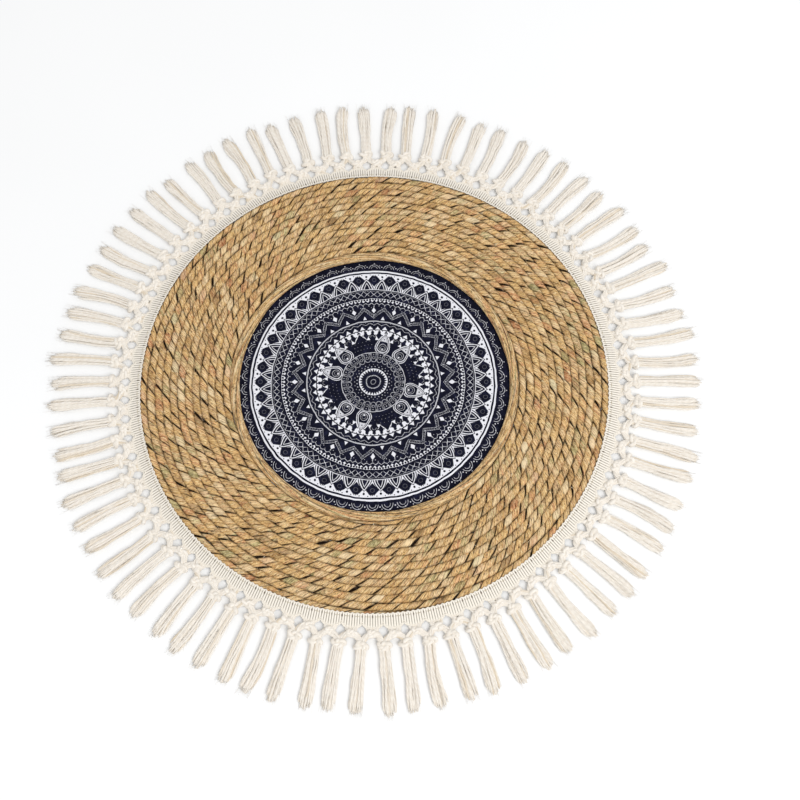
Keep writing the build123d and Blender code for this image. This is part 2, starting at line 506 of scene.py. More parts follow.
class Print:
    """The ring pattern's ink, built up motif by motif: dark marks and bare marks in turn.

    Marks have soft edges, and ink spreads a little into the bare cloth.
    """

    edge = 0.13
    spread = 0.06
    outer_radius = 120

    def __init__(self, g):
        self.g = g
        place = g.place()
        x, y, _ = g.split(place)
        sway_x = g.noise(g.vector(x * 0.12, y * 0.12, 0.0), 1.0, 1.0) - 0.5
        sway_y = g.noise(g.vector(x * 0.12, y * 0.12, 8.0), 1.0, 1.0) - 0.5
        x, y = x + 1.0 + sway_x * 1.4, y + 0.8 + sway_y * 1.4
        self.radius = g.math("SQRT", x * x + y * y)
        self.turn = g.math("ARCTAN2", y, x) * (1 / (2 * pi))
        self.rough = (g.noise(place, 1.1, 2.0) - 0.5) * 0.5
        self.rings, self.ink = {}, None

    def bands(self, stops):
        """Plain rings: (inner radius, ink) from the centre out."""
        grey = [(radius / self.outer_radius, (ink, ink, ink, 1)) for radius, ink in stops]
        self.ink = self.g.ramp(self.radius * (1 / self.outer_radius), grey, "CONSTANT")

    def across(self, count, shift=0.0):
        """Signed distance from the middle of the nearest of so many equal sectors."""
        if (count, shift) not in self.rings:
            g = self.g
            part = g.math("FRACT", self.turn * count + shift) - 0.5
            self.rings[count, shift] = part * self.radius * (2 * pi / count)
        return self.rings[count, shift]

    def cover(self, inside):
        """1 where the distance inside a mark is positive, with a slightly rough soft edge."""
        return self.g.step(inside + self.rough, -self.edge, self.edge)

    def line(self, distance, width, strength=0.7, where=None):
        """A thin bare line where the distance is near 0."""
        self.bare(width / 2 - abs(distance), strength if where is None else where * strength)

    def dark(self, inside, where=None):
        share = self.cover(inside + self.spread)
        share = share if where is None else share * where
        self.ink = self.g.math("MAXIMUM", self.ink, share)

    def bare(self, inside, where=None):
        share = self.cover(inside - self.spread)
        share = share if where is None else share * where
        self.ink = self.ink * (1 - share)

    def lower(self, *values):
        result = values[0]
        for value in values[1:]:
            result = self.g.math("MINIMUM", result, value)
        return result

    def between(self, low, high):
        return (high - low) / 2 - abs(self.radius - (low + high) / 2)

    def dot(self, count, radius, size, shift=0.0):
        u, v = self.across(count, shift), self.radius - radius
        return size - self.g.math("SQRT", u * u + v * v)

    def hoop(self, count, radius, size, line):
        return line / 2 - abs(self.dot(count, radius, size))

    def diamond(self, count, radius, half_width, half_length, shift=0.0):
        u, v = abs(self.across(count, shift)), abs(self.radius - radius)
        return half_width - u - v * (half_width / half_length)

    def spike(self, count, base, length, half_width, shift=0.0):
        """A triangle on the ring at the base radius, pointing out, or in if its length is negative."""
        u, v = abs(self.across(count, shift)), (self.radius - base) * (1 / length)
        return self.lower(half_width * (1 - v) - u, v * abs(length))

    def zigzag(self, count, radius, swing, line):
        u = abs(self.across(count))
        slope = 2 * swing * count / (pi * radius)
        reach = (self.radius - radius - swing) + u * slope
        return line / 2 - abs(reach) * (1 / sqrt(1 + slope * slope))

    def arch(self, count, base, length, half_width, belly=0.7):
        """Distance inside a pointed arch that stands on the base radius."""
        u, v = abs(self.across(count)), (self.radius - base) * (1 / length)
        share = self.g.math("MAXIMUM", v, 0.0)
        return (1 - share) * (1 + share * belly) * half_width - u

    def petal(self, count, radius, size, length, shift=0.0):
        """Distance inside a drop: a round of this size with a point this far out."""
        u, v = self.across(count, shift), self.radius - radius
        share = self.g.math("MAXIMUM", v * (1 / length), 0.0)
        inner = self.g.math("MINIMUM", v, 0.0)
        width = (1 - share) * (1 + share * 0.75) * size
        return width - self.g.math("SQRT", u * u + inner * inner)


def beads(p, count):
    """Breaks a line into this many beads round the pad."""
    return p.g.math("SINE", p.turn * (2 * pi * count)) * 0.6 + 0.2


def print_centre(p):
    """Dots, ticks and small arches round the middle."""
    p.line(p.radius - 2.0, 0.5, 0.5)
    p.bare(p.lower(0.45 - abs(p.radius - 5.7), beads(p, 30)), 0.85)
    p.dark(p.spike(30, 8.6, 2.9, 1.05))
    p.bare(p.dot(28, 13.4, 0.5), 0.6)
    p.bare(p.dot(28, 15.2, 0.36, 0.5), 0.6)
    p.bare(p.lower(p.hoop(26, 19.6, 2.0, 0.5), 19.9 - p.radius), 0.55)
    p.bare(p.lower(0.24 - abs(abs(p.across(26)) - 2.0), p.between(19.6, 25.4)), 0.45)
    p.bare(p.hoop(26, 21.2, 1.0, 0.4), 0.5)
    p.bare(p.dot(26, 23.9, 0.45), 0.6)
    p.bare(p.spike(26, 25.4, -2.2, 0.7, 0.5), 0.5)


def print_petals(p):
    """Twelve drops, every third one plain, with lace between their points."""
    g = p.g
    drops, gaps = 0.953, 0.453
    third = g.math("FRACT", g.math("FLOOR", p.turn * 12 + 24 + drops) * (1 / 3) + 0.01)
    eyed = g.step(abs(third - 0.343), 0.1, 0.15)
    plain = 1 - eyed
    p.dark(p.diamond(12, 39.6, 3.3, 4.8, gaps))
    p.line(p.dot(12, 39.6, 1.5, gaps), 0.4, 0.5)
    p.dark(p.diamond(24, 41.2, 2.4, 3.6, 0.906))
    p.dark(p.diamond(24, 38.0, 2.5, 3.4, 0.406))
    p.dark(p.dot(48, 43.9, 1.25, 0.31))
    p.dark(p.dot(96, 45.5, 0.4))
    p.dark(p.dot(48, 41.4, 0.5, 0.81))
    drop = p.petal(12, 31.4, 5.7, 12.0, drops)
    p.bare(p.lower(drop + 0.65, p.radius - 26.6))
    p.dark(drop)
    p.dark(p.petal(12, 31.6, 6.9, 11.0, drops), plain)
    p.line(drop - 1.0, 0.75, 0.95, eyed)
    p.bare(p.lower(drop - 1.6, p.between(36.2, 44.0)), eyed * 0.8)
    p.dark(p.dot(12, 38.2, 0.5, drops), eyed)
    p.line(p.dot(12, 31.2, 3.0, drops), 0.5, 0.6, eyed)
    p.line(p.dot(12, 30.8, 1.7, drops), 0.36, 0.5, eyed)
    p.bare(p.dot(12, 29.4, 0.75, drops), eyed)
    for radius, shift in ((33.0, 0), (30.0, 0.5), (36.0, 0.5)):
        p.bare(p.dot(72, radius, 0.26, shift), plain * 0.5)
    p.line(p.radius - 25.8, 0.6, 0.8)


def print_middle(p):
    """Sawtooth, waves and the dark band of chevrons and diamonds."""
    p.bare(p.spike(48, 46.5, 3.1, 2.4))
    p.dark(0.35 - abs(p.radius - 46.2))
    p.bare(p.zigzag(48, 51.2, 0.95, 0.42), 0.65)
    p.bare(p.dot(48, 50.4, 0.3, 0.5), 0.7)
    p.bare(p.dot(48, 52.9, 0.3, 0.5), 0.7)
    p.bare(p.spike(24, 55.4, 3.2, 1.7))
    p.bare(p.lower(p.zigzag(24, 60.2, 3.8, 0.33), p.between(55.5, 64.6)), 0.9)
    p.bare(p.lower(p.zigzag(24, 62.8, 3.8, 0.33), p.between(57.5, 67.0)), 0.9)
    p.bare(p.lower(p.zigzag(24, 61.5, 3.8, 0.4), beads(p, 264)), 0.5)
    p.bare(p.diamond(24, 63.8, 1.9, 2.7, 0.5))
    p.bare(p.dot(24, 67.0, 0.45, 0.5), 0.8)
    p.bare(p.dot(24, 58.8, 0.45, 0.5), 0.8)
    p.bare(p.dot(48, 66.4, 0.36, 0.25), 0.7)


def print_outer(p):
    """Fine rings, then nested arches with spades between them, and the scalloped rim."""
    g = p.g
    p.bare(p.zigzag(96, 69.6, 0.8, 0.42), 0.95)
    p.bare(p.dot(96, 67.9, 0.34, 0.5), 0.8)
    p.dark(p.spike(130, 71.2, 1.9, 1.7))
    p.dark(p.dot(200, 73.5, 0.85))
    p.dark(p.diamond(88, 78.5, 2.3, 2.5))
    p.dark(p.spike(88, 75.6, 2.8, 2.9, 0.5))
    p.dark(p.spike(88, 81.4, -2.8, 2.9, 0.5))
    arch = p.arch(44, 83.2, 9.8, 5.6)
    stripes = g.math("SINE", (arch + 0.55) * (2 * pi / 2.3)) * 0.5 + 0.12
    inside = p.lower(arch, p.radius - 83.2)
    p.bare(inside + 0.5)
    p.dark(p.lower(inside, stripes))
    p.dark(p.lower(arch - 3.6, p.radius - 83.2))
    p.dark(p.dot(44, 94.6, 0.9))
    p.dark(p.dot(88, 96.4, 0.4))
    teeth = g.math("SINE", p.across(44, 0.5) * (2 * pi / 1.35)) * 0.35
    spade = p.diamond(44, 91.6, 5.3, 6.2, 0.5)
    p.dark(p.lower(spade, 95.8 - p.radius + teeth * 1.6))
    p.line(p.dot(44, 91.6, 1.6, 0.5), 0.4, 0.14)
    rim = p.arch(54, 102.2, 9.6, 7.4, belly=0.95)
    for size, width, strength in ((4.4, 0.5, 0.8), (2.5, 0.45, 0.7)):
        p.line(p.dot(54, 102.6, size), width, strength, g.step(p.radius, 102.4, 103.0))
    p.bare(p.dot(54, 108.4, 0.5), 0.8)
    p.bare(p.lower(p.dot(108, 106.4, 0.45, 0.25), rim - 0.6), 0.9)
    p.bare(p.dot(54, 104.6, 0.6, 0.5), 0.85)


def print_material():
    """Navy ring pattern printed on off-white canvas."""
    g = Graph("printed_cotton", roughness=0.9, specular=0.05)
    p = Print(g)
    bands = [
        (0.0, 1), (8.8, 0), (11.7, 1), (37.0, 0), (46.2, 1), (53.4, 0.35), (54.0, 1), (71.2, 0),
        (74.2, 1), (75.6, 0), (81.2, 1), (82.1, 0.55), (82.9, 0), (97.4, 1), (98.9, 0), (100.1, 1),
    ]
    p.bands(bands)
    print_centre(p)
    print_petals(p)
    print_middle(p)
    print_outer(p)
    weave, slub = plain_weave(g, 0.5)
    bare = g.mix(weave * 0.25 + slub * 0.35, rgb("#f0f0f4"), rgb("#c6c7d3"))
    pool = g.noise(g.place(), 0.22, 3.0)
    inked = g.mix(g.step(pool, 0.45, 0.7), rgb("#070815"), rgb("#16182c"))
    inked = g.mix(g.step(weave + slub - 1.0, 0.0, 0.5) * 0.25, inked, rgb("#5a5c7a"))
    return g.finish(g.mix(p.ink, bare, inked), weave, 0.08)


def braid_material():
    """The header's cotton, with painted shade in the grooves between the ribs, in the small holes on its
    inner side and at the notches.
    """
    g = Graph("braid_cotton", roughness=0.85, sheen=0.3, specular=0.15)
    x, y, _ = g.split(g.place())
    radius = g.math("SQRT", x * x + y * y)
    turn = g.math("ARCTAN2", y, x) * (1 / (2 * pi))
    _, _, painted_shade = g.tone()
    fibre = g.noise(g.vector(turn * 3000, radius * 0.5, 0.0), 1.0, 3.0, 0.6)
    knit = g.math("SINE", radius * (2 * pi / 1.1)) * 0.5 + 0.5
    colour = g.mix(fibre * 0.5 + knit * 0.15, rgb("#fcf7ee"), rgb("#dad0bf"))
    # Painted shade from the tone's third channel: rib grooves, holes and notches.
    colour = g.darken(painted_shade * 0.95, colour, rgb("#6f6558"))
    return g.finish(colour, fibre * 0.5 + knit * 0.5, 0.12)


# --- Straw ---


def jog_radius(turn_radius, angle):
    """Distance from the centre to the rope's line inside the jog that starts on this turn."""
    swing = rope_pitch / (2 * (1 - cos(jog_middle - jog_start)))
    first = angle < jog_middle
    centre = np.where(first[:, None], -swing * unit(jog_start), swing * unit(jog_end))
    arc = np.where(first, turn_radius + swing, turn_radius + rope_pitch - swing)
    reach = np.sum(centre * unit(angle), axis=1)
    return reach + np.sqrt(arc**2 - swing**2 + reach**2)


def polar_line(radius, angle):
    return unit(angle) * np.reshape(radius, (-1, 1))


def rope_line():
    """The rope's centreline from its inner end to its outer end, and its fullness along it."""
    step = radians(0.3)
    inner = np.arange(jog_start + tail_tip, jog_end, step)
    gap = jog_radius(first_turn_radius, inner) - first_turn_radius
    fullness = [gap / rope_pitch]
    lines = [polar_line(first_turn_radius - rope_radius * (1 - gap / rope_pitch), inner)]
    for turn in range(turn_count):
        radius = first_turn_radius + turn * rope_pitch
        round_ = np.arange(jog_end - 2 * pi, jog_start, step)
        lines.append(polar_line(np.full(len(round_), radius), round_))
        fullness.append(np.ones(len(round_)))
        if turn < turn_count - 1:
            jog = np.arange(jog_start, jog_end, step)
            lines.append(polar_line(jog_radius(radius, jog), jog))
            fullness.append(np.ones(len(jog)))
    outer = np.arange(jog_start, jog_end - tail_tip, step)
    gap = last_turn_radius - jog_radius(last_turn_radius - rope_pitch, outer)
    lines.append(polar_line(last_turn_radius + rope_radius * (1 - gap / rope_pitch), outer))
    fullness.append(gap / rope_pitch)
    line = np.concatenate(lines)
    line[:, 2] = rope_radius
    return line, np.concatenate(fullness)


def rope_ply(line, places, fullness, start):
    """One of the rope's two plies: a bundle of stems twisted round the other ply."""
    _, out = directions(line)
    up = np.array([0.0, 0.0, 1.0])
    twist = start + 2 * pi * places / ply_pitch + wander(places, 21, 0.3)
    away = np.cos(twist)[:, None] * out + np.sin(twist)[:, None] * up
    along_side = np.sin(twist)[:, None] * out - np.cos(twist)[:, None] * up
    sides = 10
    angle = pi + full_turn(sides)
    fat = 1 + np.stack([wander(places, 6, 0.05) for _ in range(sides)], axis=1)
    fat *= (1 + wander(places, 40, 0.03) + wander(places, 9, 0.04))[:, None]
    depth = ply_half_depth * fuller(np.cos(angle), 0.85)
    width = ply_half_width * fuller(np.sin(angle), 0.9)
    radial = ply_offset + depth * fat
    lateral = width * fat
    size = np.hypot(radial, lateral)
    limit = np.minimum(1, (rope_radius + 0.25) / size)
    scale = (limit * fullness[:, None])[..., None]
    offset = radial[..., None] * away[:, None] + lateral[..., None] * along_side[:, None]
    stray = wander(places, 15, 0.28)[:, None] * out + wander(places, 12, 0.16)[:, None] * up
    beside = np.sum(offset * out[:, None], axis=2)
    reach = np.hypot(line[:, 0], line[:, 1])
    loose = smooth_step(2, 5, reach - first_turn_radius) * smooth_step(2, 5, last_turn_radius - reach)
    offset = offset + (row_swell * loose[:, None] * beside)[..., None] * out[:, None]
    rings = line[:, None] + (offset + stray[:, None]) * scale
    rings[..., 2] = np.maximum(rings[..., 2], 0.02)
    lobe = np.floor(twist / pi).astype(int)
    lobe -= lobe.min()
    hues = np.clip(0.5 + rng.normal(0, 0.12, lobe.max() + 1), 0, 1)
    lights = np.clip(0.52 + rng.normal(0, 0.14, lobe.max() + 1), 0, 1)
    hue = hues[lobe] + wander(places, 120, 0.06) + wander(places, 7, 0.06)
    # Painted shade: darker on the sides of the ply that face the neighbouring rows, and where it meets
    # the other ply near the rope's axis.
    depth_share = np.clip(0.6 + wander(places, 5, 0.5), 0.1, 1)[:, None]
    painted_row_shade = smooth_step(2.1, 2.85, np.abs(beside) * limit) * depth_share
    painted_shade = np.maximum(smooth_step(2.72, 1.95, size * limit), painted_row_shade)
    tone = np.stack(np.broadcast_arrays(hue[:, None], lights[lobe][:, None], painted_shade), axis=-1)
    return rings, tone


def make_rope(material):
    line, fullness = rope_line()
    line, places, (fullness,) = resample(line, 1.3, [fullness])
    for number, start in ((1, 0.0), (2, pi)):
        ply = Tubes()
        rings, tone = rope_ply(line, places, np.maximum(fullness, 0.04), start)
        ply.add(rings, places, tone)
        attach(ply.make(f"straw_ply_{number}", material), "pad", "straw", "straw_rope")


def make_stray_stems(material):
    """Loose ends of straw that lie over the coil."""
    stem_count = 240
    stems = Tubes()
    for _ in range(stem_count):
        radius = rng.uniform(first_turn_radius + 2, last_turn_radius - 2)
        length = rng.uniform(5, 17)
        share = np.linspace(0, 1, 8)
        start = rng.uniform(0, 2 * pi)
        angle = start + share * length / radius
        drift = rng.normal(-1.6, 1.5) * share + rng.normal(0, 0.7) * share**2
        line = polar_line(radius + drift, angle)
        arch = 0.4 * np.sin(pi * share) * rng.uniform(0.2, 1)
        line[:, 2] = rope_diameter + 0.1 + arch - 0.5 * (share < 0.1)
        thickness = rng.uniform(0.1, 0.2) * (1 - 0.6 * share)
        tone = (rng.uniform(0.3, 0.9), rng.uniform(0.4, 0.9), 0.0)
        stems.add(sweep(line, thickness, 4), share * length, tone)
    attach(stems.make("stray_stems", material), "pad", "straw")


def make_edge_cord(material):
    """A flat bundle of long stems laid round the printed centre."""
    stations, sides = 520, 40
    stem_waves, colour_waves = 26, 18
    theta, beta = full_turn(stations)[:, None], pi + full_turn(sides)[None]
    relief = np.zeros((stations, sides))
    for _ in range(stem_waves):
        around = rng.integers(3, 17)
        along = round(-around * rng.normal(2.4, 0.5)) + rng.integers(-3, 4)
        relief += np.cos(around * beta + along * theta + rng.uniform(0, 2 * pi)) / (1 + around / 9)
    relief *= 0.105
    slow = sum(np.cos(k * theta + rng.uniform(0, 2 * pi)) for k in (3, 5, 8, 13, 21)) * 0.03
    wide = cord_half_width * (1 + slow)
    power = 0.92
    across = wide * fuller(np.cos(beta), power) + relief * np.cos(beta)
    lift = cord_half_height * fuller(np.sin(beta), power) + relief * np.sin(beta)
    radius = cord_ring_radius + across
    rings = radius[..., None] * unit(theta)
    rings[..., 2] = cord_height - lift
    rings[..., 2] = np.maximum(rings[..., 2], cord_bottom - 0.02)
    hue, light = np.full_like(relief, 0.48), np.full_like(relief, 0.56)
    for _ in range(colour_waves):
        around, along = rng.integers(2, 12), rng.integers(-40, -8)
        start, turn = rng.uniform(0, 2 * pi, 2)
        hue += 0.05 * np.cos(around * beta + along * theta + start)
        light += 0.05 * np.cos(around * beta + along * theta + turn)
    # Painted shade: darker in the hollows between the stems and along thin slits between them.
    lay = 2 * beta + 52 * theta + 1.6 * sum(np.cos(k * theta + k * k) for k in (7, 11, 17, 26)) / 2
    painted_slit_shade = smooth_step(0.9, 0.995, np.cos(lay)) * np.clip(0.6 + 0.5 * np.cos(31 * theta + 2), 0, 1)
    painted_shade = np.maximum(smooth_step(-0.08, -0.3, relief) * 0.85, painted_slit_shade * 0.7)
    tone = np.stack([hue, light, painted_shade], axis=-1)
    cord = Tubes()
    cord.add(rings, theta[:, 0] * cord_ring_radius, tone, joined=True)
    attach(cord.make("edge_cord_straw", material), "pad", "straw", "edge_cord")


def make_binding(material):
    """Sewing thread that dips through the turns from the edge cord to the rim."""
    threads = Tubes()
    radius = np.linspace(cord_ring_radius, span("binding_threads")[0] - thread_radius, 130)
    for i in range(thread_count):
        line = polar_line(radius, np.full(len(radius), 2 * pi * i / thread_count))
        weave = np.cos((radius - first_turn_radius) * pi / rope_pitch)
        line[:, 2] = rope_radius + thread_swing * weave
        threads.add(sweep(line, thread_radius, 6), radius - first_turn_radius)
    attach(threads.make("binding_thread", material), "pad", "sewing_thread", "binding_threads")


# --- Centre panel ---


def cloth_field(radius):
    """Height of the cloth's upper face, from its crown down to the flange under the edge cord."""
    low = cloth_bottom + flange_thickness
    return low + (cloth_top - low) * smooth_step(slope_foot_radius, field_radius - 2, radius)


def pucker_reach(radius):
    """How strongly the cloth puckers at this distance from the centre."""
    return np.exp(-(((radius - pucker_ring_radius) / 5) ** 2))


def make_cloth(material):
    radii = np.concatenate([np.linspace(2, 96, 70), np.linspace(96.8, cloth_radius, 30)])
    waves = [(k, rng.uniform(0, 2 * pi)) for k in (31, 43, 57, 72, 88)]

    def height(x, y):
        radius, angle = np.hypot(x, y), np.arctan2(y, x)
        pucker = sum(np.cos(k * angle + start) for k, start in waves) * pucker_height / 5
        soft = ripples(x, y, (24, 60), 0.13) * smooth_step(slope_foot_radius, 95, radius)
        return cloth_field(radius) + pucker * pucker_reach(radius) + soft

    points, faces = disc_grid(radii, 420, height)
    cloth = make_mesh("printed_cloth", points, faces, material)
    attach(thicken(cloth, flange_thickness), "pad", "printed_cotton", "medallion_cloth")


def make_backing(material):
    radii = np.linspace(3, backing_radius, 40)

    def height(x, y):
        return backing_top + ripples(x, y, (18, 50), 0.015)

    points, faces = disc_grid(radii, 240, height)
    backing = make_mesh("backing_cloth", points, faces, material)
    attach(thicken(backing, backing_top), "pad", "plain_cotton", "medallion_backing")


def make_wadding(material):
    """Felt with a rounded edge, everywhere a little below the cloth's underside."""
    outer, low, high = span("medallion_wadding")
    count = 180
    radii = np.concatenate([np.linspace(4, outer - 9, 24), np.linspace(outer - 8, outer, 12)])

    def height(x, y):
        radius = np.hypot(x, y)
        edge = smooth_step(outer, outer - 8, radius)
        top = low + 0.15 + (high - low - 0.2) * edge + ripples(x, y, (9, 30), 0.04) * edge
        room = flange_thickness + felt_room + pucker_height * pucker_reach(radius)
        return np.maximum(np.minimum(top, cloth_field(radius) - room), low + 0.05)

    points, faces = disc_grid(radii, count, height)
    under = points.copy()
    under[:, 2] = low
    lower = len(points)
    faces += [[lower + i for i in reversed(face)] for face in faces]
    rim = [(len(radii) - 1) * count + i for i in range(count)]
    faces += [[a, lower + a, lower + b, b] for a, b in zip(rim, rim[1:] + rim[:1])]
    wadding = make_mesh("wadding", np.concatenate([points, under]), faces, material)
    attach(wadding, "pad", "felt", "medallion_wadding")


def make_seam(material):
    """Running stitches that hold the printed cloth down on its flange."""
    stitches = Tubes()
    count = 200
    share = np.linspace(0, 1, 7)
    for i in range(count):
        angle = (i + 0.15 + 0.7 * share) * 2 * pi / count
        line = polar_line(np.full(len(angle), seam_radius), angle)
        line[:, 2] = cloth_bottom + flange_thickness + 0.22 * np.sin(pi * share)
        stitches.add(sweep(line, 0.2, 6), share * 2.4)
    attach(stitches.make("seam_stitches", material), "pad", "sewing_thread", "medallion_seam")


# --- Header braid ---


def scallop_radius(angle):
    """Outer edge of the header: one arc for each tassel, from notch to notch."""
    half_chord = notch_radius * tan(tassel_step / 2)
    arc = (half_chord**2 + scallop_height**2) / (2 * scallop_height)
    part = np.mod(angle / tassel_step, 1) - 0.5
    reach = part * 2 * half_chord
    return notch_radius + np.sqrt(arc**2 - reach**2) - (arc - scallop_height)


def header_point(radius, angle, above):
    """A point on the sloping tape, this far above its lower face."""
    run = (radius - header_inner_radius) / cos(header_tilt)
    place = unit(angle) * (radius + above * sin(header_tilt))[..., None]
    place[..., 2] = header_inner_height - run * sin(header_tilt) + above * cos(header_tilt)
    return place


def make_header(material):
    ribs = tassel_count * ribs_per_scallop
    per_rib, rows = 5, 15
    count = ribs * per_rib
    angle = full_turn(count)
    share = np.linspace(0, 1, rows)[:, None]
    picot = 0.35 * np.cos(angle * tassel_count * loops_per_scallop)
    inner = header_inner_radius + 0.4 - picot * 0.5
    outer = scallop_radius(angle) - 0.6
    radius = inner + (outer - inner) * share
    wave = np.abs(np.sin(angle * ribs / 2))
    uneven = 1 + 0.12 * np.repeat(rng.normal(0, 1, ribs), per_rib)
    fade = smooth_step(0.0, 0.12, share) * (1 - 0.55 * smooth_step(0.72, 1.0, share))
    relief = 0.6 * (wave - 1) * fade * uneven + 0.1 * smooth_step(0.75, 0.95, share)
    angle_grid = np.broadcast_to(angle, radius.shape)
    points = header_point(radius, angle_grid, header_thickness + relief)
    # Painted shade for the braid's colour: in the grooves between the ribs, in small holes on the inner
    # side and at the notches; the sum goes in the tone's third channel.
    painted_shade = smooth_step(0.62, 0.0, wave) * fade * (1 - 0.5 * smooth_step(0.6, 1, share))
    painted_hole_shade = (np.cos(angle * tassel_count * 2) > 0.93) * np.repeat(rng.uniform(0.1, 1.3, ribs), per_rib)
    painted_hole_shade = painted_hole_shade * np.exp(-(((radius - header_inner_radius - 2.6) / 0.7) ** 2))
    painted_notch_shade = np.cos(angle * tassel_count) > 0.985
    painted_notch_shade = painted_notch_shade * smooth_step(notch_radius - 1.6, notch_radius - 0.8, radius)
    dark = np.clip(painted_shade * 1.1 + painted_hole_shade * 1.3 + painted_notch_shade * 1.2, 0, 1.4)
    tone = np.stack([np.full_like(radius, 0.5), share + 0 * radius, dark], axis=-1)
    faces = ring_quads(rows, count)
    tape = make_mesh("header_tape", points.reshape(-1, 3), faces, material, tone=tone.reshape(-1, 3))
    attach(thicken(tape, header_thickness - 0.45), "pad", "braid_cotton", "header_braid")


def make_header_edges(material):
    """Two cords along the scallops, and the row of small loops along the inner edge."""
    edges = Tubes()

    def add_cord(line, radius, sides):
        edges.add(sweep(line, radius, sides), distances(line), (0.6, 0.5, 0.0), joined=True)

    angle = full_turn(tassel_count * 26)
    add_cord(header_point(scallop_radius(angle) - 0.65, angle, np.full(len(angle), 0.55)), 0.62, 7)
    add_cord(header_point(scallop_radius(angle) - 1.9, angle, np.full(len(angle), 0.85)), 0.4, 6)
    loops = tassel_count * loops_per_scallop
    angle = full_turn(loops * 10)
    swing = np.cos(angle * loops)
    add_cord(header_point(header_inner_radius + 0.55 - 0.5 * swing, angle, 0.75 + 0.12 * swing), 0.36, 6)
    attach(edges.make("header_edges", material), "pad", "braid_cotton")


def make_header_stitches(material):
    """Two stitches in each scallop, which sew the tape to the last turn of rope."""
    stitches = Tubes()
    count, length = tassel_count * 2, 3.2
    share = np.linspace(0, 1, 9)
    for i in range(count):
        angle = (i + 0.5) * 2 * pi / count + (share - 0.5) * length / stitch_radius
        radius = np.full(len(share), header_inner_radius + 2.6)
        line = header_point(radius, angle, header_thickness - 0.1 + 0.22 * np.sin(pi * share))
        stitches.add(sweep(line, 0.22, 6), share * length)
    attach(stitches.make("header_stitch", material), "pad", "sewing_thread", "header_stitches")


# --- Fringe ---


def add_bundle(tubes, line, wide, thick, count, yarn, turns=0.0):
    """Soft yarns side by side along a line, inside an oval this wide and thick."""
    line, places, _ = resample(line, 0.8)
    share = places / places[-1]
    ahead, side = directions(line)
    over = np.cross(side, ahead)
    start = rng.uniform(0, 2 * pi)
    for k in range(count):
        spot = sqrt((k + 0.5) / count)
        turn = start + k * golden_angle + 2 * pi * turns * share
        a = spot * np.cos(turn) * (wide / 2 - yarn) + wander(places, 3, 0.12)
        b = spot * np.sin(turn) * (thick / 2 - yarn) + wander(places, 3, 0.12)
        strand = line + a[:, None] * side + b[:, None] * over
        strand[:, 2] = np.maximum(strand[:, 2], yarn)
        tubes.add(sweep(strand, yarn, 7), places, fringe_tone())


def knot_line():
    """An overhand knot pulled tight, as a closed loop of unit size."""
    t = full_turn(64)
    x = np.sin(t) + 2 * np.sin(2 * t)
    y = np.cos(t) - 2 * np.cos(2 * t)
    return np.stack([x / 3, y / 3, -np.sin(3 * t) * 0.42], axis=1)


def add_knot(tubes, centre, heading, sizes, yarn, tone):
    """A knot with these half sizes outwards, sideways and upwards, facing a heading."""
    loop = knot_line()
    turn, tilt = rng.uniform(0, 2 * pi), rng.normal(0, 0.15)
    x = loop[:, 0] * cos(turn) - loop[:, 1] * sin(turn)
    y = loop[:, 0] * sin(turn) + loop[:, 1] * cos(turn)
    reach = np.array(sizes) - yarn
    out, beside = x * reach[0], y * reach[1]
    up = (loop[:, 2] / 0.42) * reach[2] + beside * tilt
    ahead = unit(heading)
    line = centre + out[:, None] * ahead + beside[:, None] * np.array([-ahead[1], ahead[0], 0])
    line[:, 2] = np.maximum(line[:, 2] + up, yarn)
    rings = sweep(np.concatenate([line[-1:], line, line[:1]]), yarn, 9)[1:-1]
    tubes.add(rings, np.linspace(0, 5 * reach[1], len(line)), tone, joined=True)


def polar_point(radius, angle, height):
    return np.array([radius * cos(angle), radius * sin(angle), height])


def tassel_knot(index):
    """Centre of a tassel's knot: the three of a group stand on one straight line."""
    place = (index + 1) % 3 - 1
    radius = tassel_knot_line / cos(place * tassel_step)
    return polar_point(radius, index * tassel_step, tassel_knot_height)


def fringe_tone(beige=0.12):
    """Mostly cream, with this share of beige yarns."""
    hue = rng.uniform(0.08, 0.3) if rng.random() < beige else np.clip(rng.normal(0.6, 0.12), 0.36, 1)
    return (hue, np.clip(rng.normal(0.5, 0.15), 0, 1), 0.0)


def beside_point(point, angle, outwards, sideways, height):
    """A point moved outwards and sideways in the pad's plane, at a height."""
    ahead = unit(angle)
    moved = point + outwards * ahead + sideways * np.array([-ahead[1], ahead[0], 0])
    return np.array([moved[0], moved[1], height])


